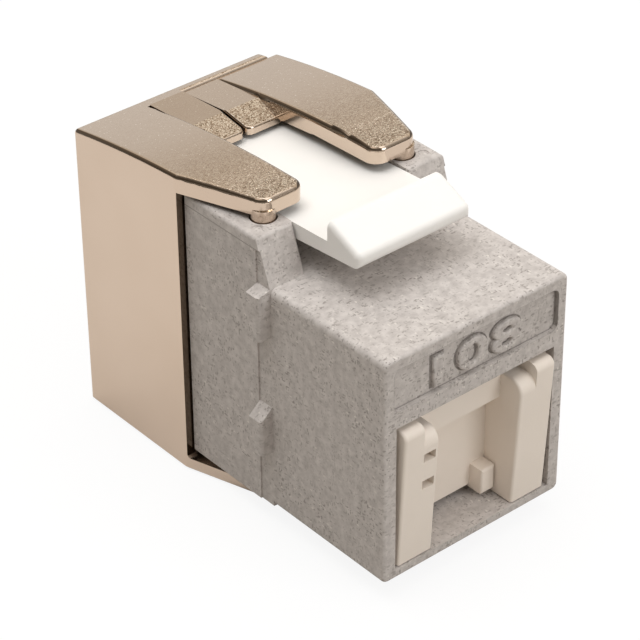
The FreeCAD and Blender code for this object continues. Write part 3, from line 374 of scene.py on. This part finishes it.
def parting_line_shade(tree, spot):
    """A thin line of painted shade where the mould's halves meet on the outer sides."""
    on_line = reckon(tree, "COMPARE", spot["Z"], PARTING_HEIGHT, PARTING_HALF)
    outer = reckon(tree, "GREATER_THAN", reckon(tree, "ABSOLUTE", spot["X"]), PARTING_OUTSIDE)
    return reckon(tree, "MULTIPLY", on_line, outer)


grey_finish, tree, shader, place = new_finish("filled_grey_plastic", GREY_ROUGHNESS)
colour = ramp_of(tree, noise_of(tree, place, CLOUD_SCALE, detail=5.0, roughness=0.65), CLOUD_STOPS)
crowd = ramp_of(tree, noise_of(tree, place, CROWD_SCALE, detail=2.0), CROWD_STOPS)
pushed = unevenly(tree, place, RAGGED_SCALE, RAGGED_REACH)
for squeeze, turn, cell, reach, tone in FLECKS:
    flecks = flecks_of(tree, pushed, squeeze, turn, cell, reach)
    colour = mix_colours(tree, reckon(tree, "MULTIPLY", flecks, crowd), colour, tone)
spot = axes_of(tree, place)
# Painted shade along the parting line.
colour = mix_colours(tree, parting_line_shade(tree, spot), colour, GREY_DARK)
# Painted shade: a dark line along the label recess's inside corners.
colour = mix_colours(tree, label_painted_shade(tree, spot), colour, GREY_PAINTED_SHADE)
tree.links.new(colour, shader.inputs["Base Color"])
lumps = bump_of(tree, noise_of(tree, place, LUMP_SCALE, detail=2.0), GREY_BUMP, LUMP_HIGH)
skin = bump_of(tree, noise_of(tree, place, SKIN_SCALE), GREY_BUMP, SKIN_HIGH)
tree.links.new(lumps.outputs["Normal"], skin.inputs["Normal"])
tree.links.new(skin.outputs["Normal"], shader.inputs["Normal"])
dress_node("front_housing", grey_finish)

# ---------------------------------------------------------------------------------------------------
# Port number: plain raised digits on the floor of the label's recess, moulded with the housing in the
# same grey plastic. A thin dark rim round their foot is painted shade, for the shade in the corner
# that they make with the floor.
# ---------------------------------------------------------------------------------------------------

NUMBER_TEXT = "108"
NUMBER_MIDDLE = -0.0003
NUMBER_FOOT = 0.01395
NUMBER_WIDE = 0.0070
NUMBER_HIGH = 0.0022
NUMBER_PROUD = 0.00030
RIM_PROUD = 0.00003
RIM_ROUGHNESS = 0.7

# Shares of the letters' own size, before they are brought to the width and height above.
RIM_WIDENING = 0.03
STROKE_DEEP = 0.04
STROKE_BEVEL = 0.035
STROKE_BEVEL_STEPS = 2
LETTER_SPACING = 1.15
PATCH_FADE = (0.3, 0.7)


def mottle(tree, place, scale, dark, light):
    """Two close tones in soft patches."""
    return ramp_of(tree, noise_of(tree, place, scale), [(PATCH_FADE[0], dark), (PATCH_FADE[1], light)])


def raised_number(name, widening, proud, finish):
    """The digits as a mesh that stands proud of the recess, widened on all sides of its strokes."""
    bpy.ops.object.select_all(action="DESELECT")
    bpy.ops.object.text_add(location=(0, 0, 0))
    number = bpy.context.object
    number.name = name
    number.data.body = NUMBER_TEXT
    number.data.align_x = "CENTER"
    number.data.size = 1.0
    number.data.extrude = STROKE_DEEP
    number.data.bevel_depth = STROKE_BEVEL
    number.data.bevel_resolution = STROKE_BEVEL_STEPS
    number.data.space_character = LETTER_SPACING
    number.data.offset = widening
    bpy.ops.object.convert(target="MESH")
    across, up, out = zip(*[vertex.co for vertex in number.data.vertices])
    stretch = NUMBER_WIDE / (max(across) - min(across) - 2 * widening)
    grow = NUMBER_HIGH / (max(up) - min(up) - 2 * widening)
    number.scale = (stretch, grow, proud / max(out))
    number.rotation_euler = (math.pi / 2, 0, 0)
    height = NUMBER_FOOT + NUMBER_HIGH / 2 - (max(up) + min(up)) / 2 * grow
    number.location = (NUMBER_MIDDLE, HOUSING_FRONT + LABEL_DEPTH, height)
    bpy.ops.object.transform_apply(location=True, rotation=True, scale=True)
    number.data.materials.clear()
    number.data.materials.append(finish)
    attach(number, "jack_body")


# Painted shade: a thin, dark, widened copy of the digits stands at their foot, where only shade falls.
digit_shade_finish, tree, shader, place = new_finish("grey_plastic_painted_shade", RIM_ROUGHNESS)
tree.links.new(mottle(tree, place, SKIN_SCALE, GREY_PAINTED_SHADE, GREY_DARK), shader.inputs["Base Color"])
raised_number("port_number", 0.0, NUMBER_PROUD, grey_finish)
raised_number("port_number_painted_shade", RIM_WIDENING, RIM_PROUD, digit_shade_finish)

# ---------------------------------------------------------------------------------------------------
# Shutter: one satin ivory moulding with its posts, bar, panel and nub. It turns on two short stubs in
# the housing's walls, and a leaf spring behind its bar presses it shut.
# ---------------------------------------------------------------------------------------------------

IVORY = (0.88, 0.80, 0.72, 1.0)
IVORY_PALE = (0.91, 0.83, 0.75, 1.0)
SATIN_PATCH_SCALE = 300.0
SATIN_SKIN_SCALE = 5000.0
SATIN_SKIN_HIGH = 0.00003


def satin_plastic(name, roughness, dark, light, skin_strength):
    """An even moulded plastic: two close tones under a fine skin."""
    finish, tree, shader, place = new_finish(name, roughness)
    tree.links.new(mottle(tree, place, SATIN_PATCH_SCALE, dark, light), shader.inputs["Base Color"])
    skin = bump_of(tree, noise_of(tree, place, SATIN_SKIN_SCALE), skin_strength, SATIN_SKIN_HIGH)
    tree.links.new(skin.outputs["Normal"], shader.inputs["Normal"])
    return finish


ivory_finish = satin_plastic(
    "ivory_plastic", roughness=0.45, dark=IVORY, light=IVORY_PALE, skin_strength=0.15)
dress_node("shutter", ivory_finish)

# ---------------------------------------------------------------------------------------------------
# Latch: one satin white moulding, a flat tongue with a ridge near its free end that snaps behind the
# edge of a panel. It bends at its root, which sits in the blade block below the wings' tongues.
# ---------------------------------------------------------------------------------------------------

LATCH_WHITE = (0.92, 0.91, 0.89, 1.0)
LATCH_PALE = (0.94, 0.93, 0.91, 1.0)

white_finish = satin_plastic(
    "white_plastic", roughness=0.42, dark=LATCH_WHITE, light=LATCH_PALE, skin_strength=0.12)
dress_node("latch", white_finish)

# ---------------------------------------------------------------------------------------------------
# Wings: two zinc castings, nickel plated, which swing on bosses in the housing and close over the
# rear. Their sides are bright. Their tops are sandy at the arms' tips and on the forward slopes, where
# the dark and bright grains are partly the sand's own tone and partly painted shade and painted
# glints, and they carry a few painted glints all over. The rounded edges, the undersides and the
# window's edge are darkened with painted shade.
# ---------------------------------------------------------------------------------------------------

NICKEL = (0.63, 0.515, 0.415, 1.0)
NICKEL_PALE = (0.67, 0.555, 0.455, 1.0)
NICKEL_ROUGHNESS = 0.14
NICKEL_PATCH_SCALE = 120.0
# Painted shade: the dark that the window's edge, the rounded edges and the undersides are painted
# with.
WING_PAINTED_SHADE = (0.08, 0.055, 0.035, 1.0)

# The grains: each cell of a scatter has a random colour, whose red picks dark and bright grains, its
# green the painted glints and its blue the heights. The dark and bright grains are partly the sand's
# own tone and partly painted shade and painted glints.
GRAIN_SCALE = 14000.0
GRAIN_HIGH = 0.00002
GRAIN_AND_SHADE_DARK = (0.26, 0.185, 0.12, 1.0)
GRAIN_AND_GLINT_BRIGHT = (0.98, 0.90, 0.78, 1.0)
GRAIN_TONES = [([(0.10, WHITE), (0.40, BLACK)], GRAIN_AND_SHADE_DARK),
               ([(0.56, BLACK), (0.95, WHITE)], GRAIN_AND_GLINT_BRIGHT)]
GLINT_STOPS = [(0.980, BLACK), (0.995, (0.6, 0.6, 0.6, 1.0))]

# The sandy part fades from SANDY_FRONT (0) to SANDY_REAR (1) along the jack's length. A face counts as
# the top and as a forward slope by how far it looks up and forward.
SANDY_FRONT = -0.003
SANDY_REAR = 0.007
SANDY_STOPS = [(0.20, WHITE), (0.45, (0.45, 0.45, 0.45, 1.0)), (1.0, (0.06, 0.06, 0.06, 1.0))]
TOP_STOPS = [(0.90, BLACK), (0.97, WHITE)]
SLOPE_STOPS = [(0.07, BLACK), (0.12, WHITE)]
SANDY_BUMP = 0.95
PLAIN_BUMP = 0.02

# The window's edge is a narrow face that looks forward. The rounded edges look up and sideways. Both
# are darkened with painted shade, and so is all that looks down.
WINDOW_EDGE = 0.004105
WINDOW_EDGE_HALF = 0.00004
FACES_FORWARD = -0.7
WINDOW_SHADE_SHARE = 0.75
ROUND_STOPS = [(0.40, BLACK), (0.55, WHITE), (0.90, WHITE), (0.96, BLACK)]
FACES_SIDEWAYS = 0.25
FACES_DOWN = -0.3
ROUND_SHADE_SHARE = 0.92


def top_of(tree, facing):
    """The tops of the wings, as a factor."""
    return ramp_of(tree, facing["Z"], TOP_STOPS)


def sandy_part(tree, spot, facing):
    """The part of the tops that is sandy: near the arms' tips, and on every forward slope."""
    along = share_along(tree, spot["Y"], SANDY_FRONT, SANDY_REAR)
    near_tip = ramp_of(tree, along, SANDY_STOPS)
    sloping = ramp_of(tree, reckon(tree, "MULTIPLY", facing["Y"], -1.0), SLOPE_STOPS)
    return reckon(tree, "MULTIPLY", top_of(tree, facing), reckon(tree, "MAXIMUM", near_tip, sloping))


def window_edge_painted_shade(tree, spot, facing):
    """Painted shade on the edge of the side plate along the window, which lies in the gap to the
    housing.
    """
    in_plane = reckon(tree, "COMPARE", spot["Y"], WINDOW_EDGE, WINDOW_EDGE_HALF)
    forward = reckon(tree, "LESS_THAN", facing["Y"], FACES_FORWARD)
    return reckon(tree, "MULTIPLY", reckon(tree, "MULTIPLY", in_plane, forward), WINDOW_SHADE_SHARE)


def painted_shade_edges(tree, facing):
    """Painted shade on the rounded edges between the tops and the sides, and on all that looks down.
    """
    on_round = ramp_of(tree, facing["Z"], ROUND_STOPS)
    sideways = reckon(tree, "GREATER_THAN", reckon(tree, "ABSOLUTE", facing["X"]), FACES_SIDEWAYS)
    downward = reckon(tree, "LESS_THAN", facing["Z"], FACES_DOWN)
    edges = reckon(tree, "MAXIMUM", reckon(tree, "MULTIPLY", on_round, sideways), downward)
    return reckon(tree, "MULTIPLY", edges, ROUND_SHADE_SHARE)


nickel_finish, tree, shader, place = new_finish("nickel_plated_zinc", NICKEL_ROUGHNESS, metallic=1.0)
colour = mottle(tree, place, NICKEL_PATCH_SCALE, NICKEL, NICKEL_PALE)
spot = axes_of(tree, place)
facing = facing_of(tree)
sandy = sandy_part(tree, spot, facing)
grains = tree.nodes.new("ShaderNodeTexVoronoi")
grains.inputs["Scale"].default_value = GRAIN_SCALE
tree.links.new(place, grains.inputs["Vector"])
grain = tree.nodes.new("ShaderNodeSeparateColor")
tree.links.new(grains.outputs["Color"], grain.inputs[0])
# Dark and bright grains on the sandy part: partly the sand's own tone, partly painted shade and
# painted glints.
for stops, tone in GRAIN_TONES:
    picked = ramp_of(tree, grain.outputs["Red"], stops)
    colour = mix_colours(tree, reckon(tree, "MULTIPLY", picked, sandy), colour, tone)
# Painted glints: a few bright grains all over the tops.
painted_glints = ramp_of(tree, grain.outputs["Green"], GLINT_STOPS)
painted_glints = reckon(tree, "MULTIPLY", painted_glints, top_of(tree, facing))
colour = mix_colours(tree, painted_glints, colour, GRAIN_AND_GLINT_BRIGHT)
# Painted shade on the window's edge, the rounded edges and the undersides.
colour = mix_colours(tree, window_edge_painted_shade(tree, spot, facing), colour, WING_PAINTED_SHADE)
colour = mix_colours(tree, painted_shade_edges(tree, facing), colour, WING_PAINTED_SHADE)
tree.links.new(colour, shader.inputs["Base Color"])
depth = reckon(tree, "MULTIPLY_ADD", sandy, SANDY_BUMP, PLAIN_BUMP)
sand = bump_of(tree, grain.outputs["Blue"], depth, GRAIN_HIGH)
tree.links.new(sand.outputs["Normal"], shader.inputs["Normal"])
dress_node("left_wing", nickel_finish)
dress_node("right_wing", nickel_finish)

# ---------------------------------------------------------------------------------------------------
# Inside pieces: the contact carrier with its gilt contacts, the coated board, the blade block with its
# tinned blades, the wire manager and three sprung strips. A finish has the nodes that it dresses, its
# dark and its light tone, its roughness and how metallic it is.
# ---------------------------------------------------------------------------------------------------

WIRES = range(1, 9)
INSIDE_PATCH_SCALE = 800.0
INSIDE_FINISHES = {
    "black_plastic": (
        ["contact_carrier"], (0.03, 0.03, 0.032, 1.0), (0.045, 0.045, 0.047, 1.0), 0.5, 0.0),
    "board_coating": (
        ["circuit_board"], (0.02, 0.11, 0.04, 1.0), (0.03, 0.14, 0.05, 1.0), 0.3, 0.0),
    "pale_plastic": (
        ["idc_block", "wire_manager"], (0.55, 0.54, 0.50, 1.0), (0.60, 0.59, 0.55, 1.0), 0.5, 0.0),
    "gold_plating": (
        ["spring_contact_%d" % wire for wire in WIRES],
        (0.80, 0.56, 0.20, 1.0), (0.86, 0.62, 0.25, 1.0), 0.25, 1.0),
    "tin_plating": (
        ["idc_blade_%d" % wire for wire in WIRES],
        (0.60, 0.59, 0.57, 1.0), (0.68, 0.67, 0.65, 1.0), 0.35, 1.0),
    "shield_strip": (
        ["shield_spring_left", "shield_spring_right", "shutter_spring"],
        (0.50, 0.49, 0.47, 1.0), (0.58, 0.57, 0.55, 1.0), 0.3, 1.0),
}
for name, (members, dark, light, roughness, metallic) in INSIDE_FINISHES.items():
    finish, tree, shader, place = new_finish(name, roughness, metallic)
    tree.links.new(mottle(tree, place, INSIDE_PATCH_SCALE, dark, light), shader.inputs["Base Color"])
    for member in members:
        dress_node(member, finish)

bpy.context.view_layer.update()
